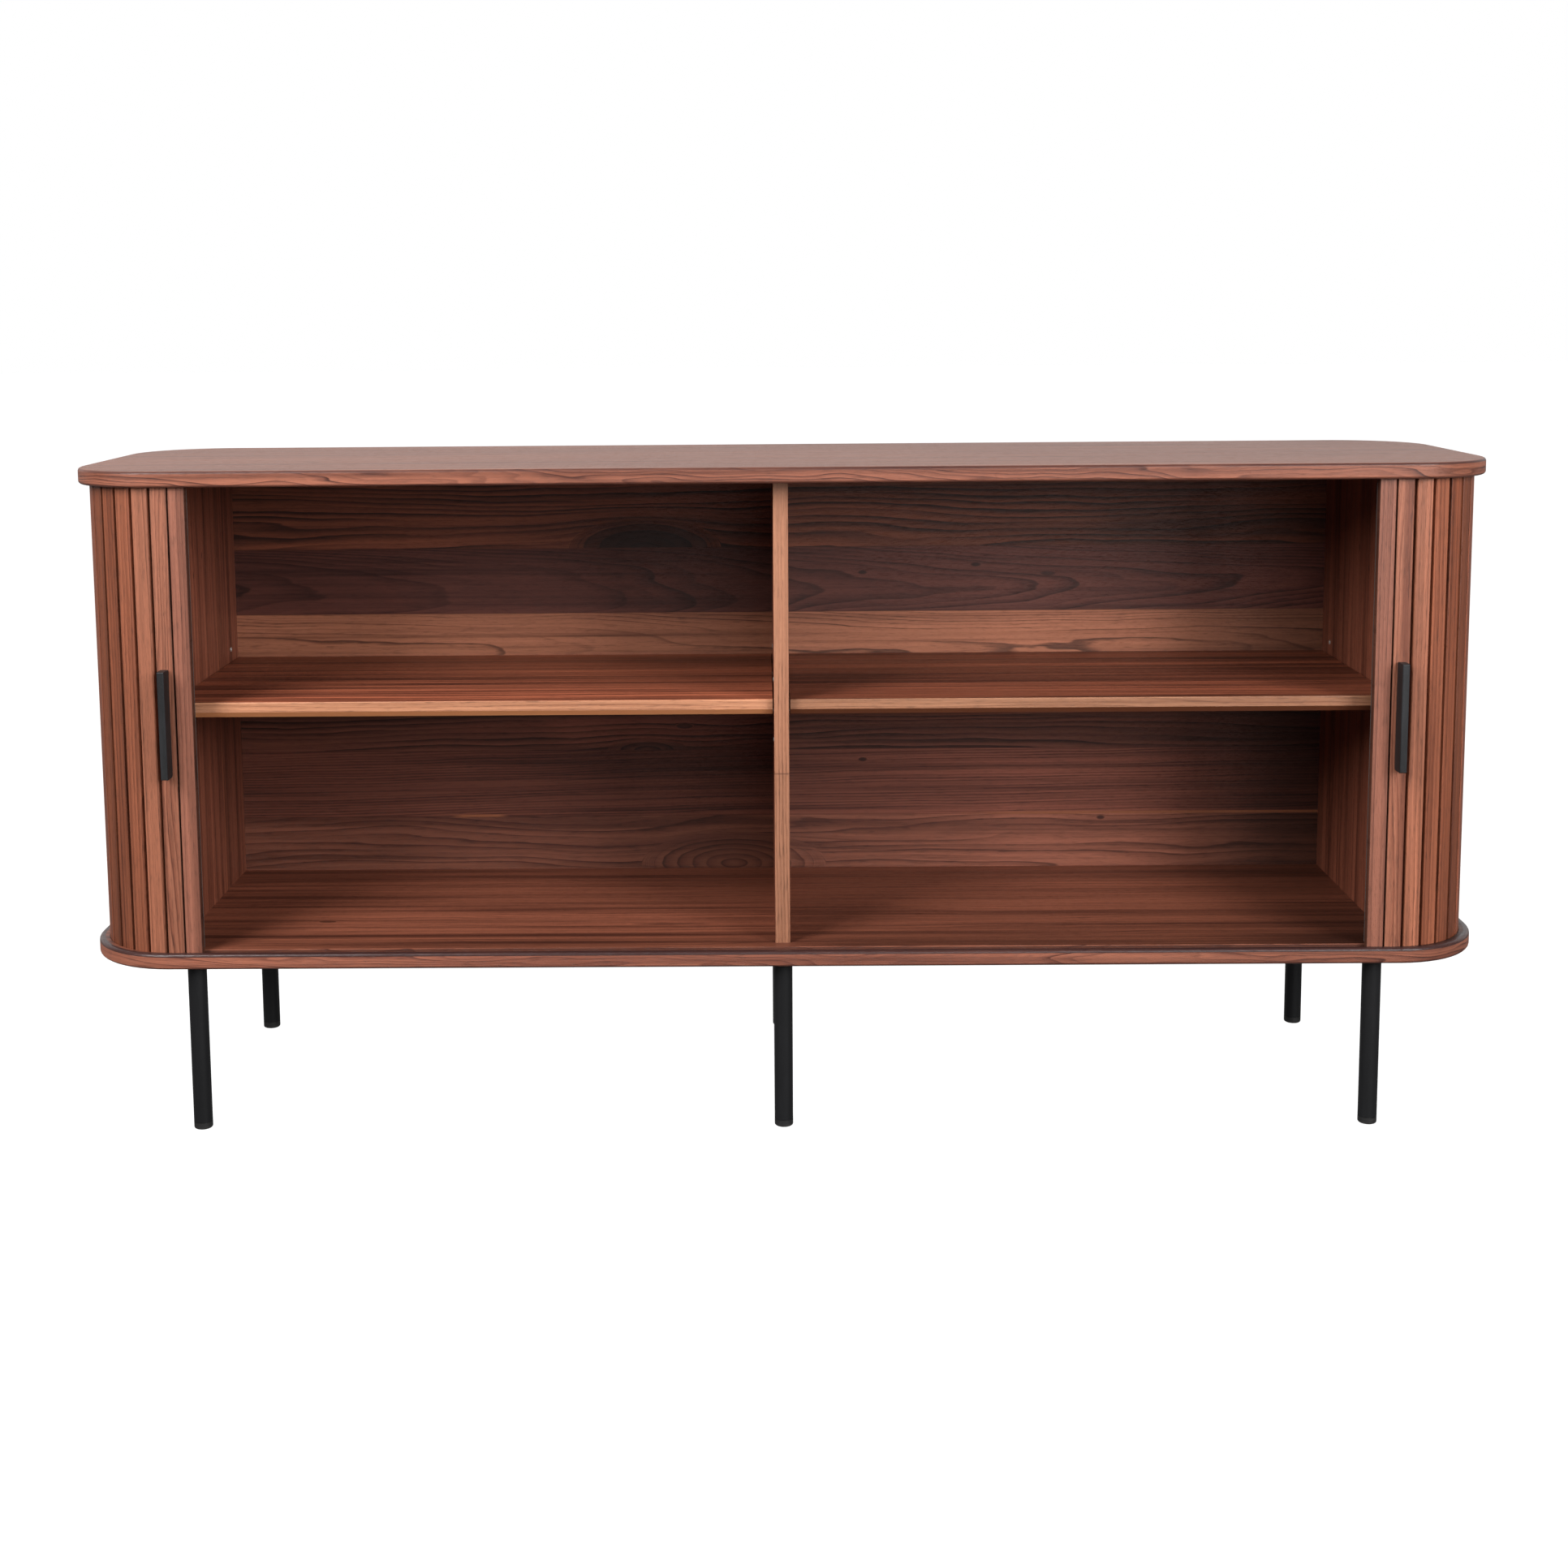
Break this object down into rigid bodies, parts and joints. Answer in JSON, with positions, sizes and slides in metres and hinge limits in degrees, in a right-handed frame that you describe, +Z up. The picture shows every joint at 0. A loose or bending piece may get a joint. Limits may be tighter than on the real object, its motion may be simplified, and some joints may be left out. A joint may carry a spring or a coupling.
{
  "type": "media cabinet",
  "caption": "Low walnut media cabinet with rounded corners, tambour doors that slide round the ends, shelves either side of a divider, and slim round black legs.",
  "frame": {"origin": "on the floor, under the middle of the whole object's box with both doors open", "axes": "+X along the width to the right as seen from the front, -Y towards the front, +Z up"},
  "size_m": [1.6, 0.412, 0.76],
  "materials": {
    "walnut_boards": "satin oil, reddish brown walnut with darker rounded edges",
    "walnut_slats": "satin oil, straight vertical grain, colour varies from slat to slat",
    "walnut_uprights": "satin oil, vertical boards",
    "walnut_shelves": "satin oil, lighter bevelled front edge",
    "walnut_backs": "satin oil, horizontal planks with figured grain",
    "beech": "raw turned dowel",
    "canvas": "plain woven cotton canvas, dark brown",
    "handle_black": "matt black powder coat",
    "leg_black": "satin black powder coat",
    "black_plastic": "moulded, matt",
    "zinc_steel": "bright zinc plate"
  },
  "bodies": {
    "cabinet": {"back_centre_leg": "leg_black", "back_centre_leg_glide": "black_plastic", "back_centre_leg_plate": "leg_black", "back_left_leg": "leg_black", "back_left_leg_glide": "black_plastic", "back_left_leg_plate": "leg_black", "back_panel_screws": "zinc_steel", "back_right_leg": "leg_black", "back_right_leg_glide": "black_plastic", "back_right_leg_plate": "leg_black", "bottom_board": "walnut_boards", "carcass_dowels": "beech", "carcass_screws": "zinc_steel", "centre_divider": "walnut_uprights", "front_centre_leg": "leg_black", "front_centre_leg_glide": "black_plastic", "front_centre_leg_plate": "leg_black", "front_left_leg": "leg_black", "front_left_leg_glide": "black_plastic", "front_left_leg_plate": "leg_black", "front_right_leg": "leg_black", "front_right_leg_glide": "black_plastic", "front_right_leg_plate": "leg_black", "inner_back_panel": "walnut_backs", "left_back_slats": "walnut_slats", "left_curtain_canvas": "canvas", "left_front_corner_slats": "walnut_slats", "left_rear_corner_slats": "walnut_slats", "left_shelf": "walnut_shelves", "left_side_panel": "walnut_uprights", "left_side_slats": "walnut_slats", "leg_plate_screws": "zinc_steel", "outer_back_panel": "walnut_backs", "right_back_slats": "walnut_slats", "right_curtain_canvas": "canvas", "right_front_corner_slats": "walnut_slats", "right_rear_corner_slats": "walnut_slats", "right_shelf": "walnut_shelves", "right_side_panel": "walnut_uprights", "right_side_slats": "walnut_slats", "shelf_pin_sleeves": "zinc_steel", "shelf_pins": "zinc_steel", "top_board": "walnut_boards", "track_stops": "black_plastic"},
    "left_door": {"left_handle": "handle_black", "left_handle_screws": "zinc_steel", "left_handle_slat": "walnut_slats", "left_lead_canvas": "canvas", "left_lead_slat": "walnut_slats"},
    "right_door": {"right_handle": "handle_black", "right_handle_screws": "zinc_steel", "right_handle_slat": "walnut_slats", "right_lead_canvas": "canvas", "right_lead_slat": "walnut_slats"}
  },
  "joints": [
    {"name": "left_door_slide", "type": "slide", "parent": "cabinet", "child": "left_door", "axis": [1, 0, 0], "range_m": [0, 0.6567]},
    {"name": "right_door_slide", "type": "slide", "parent": "cabinet", "child": "right_door", "axis": [-1, 0, 0], "range_m": [0, 0.6567]}
  ]
}
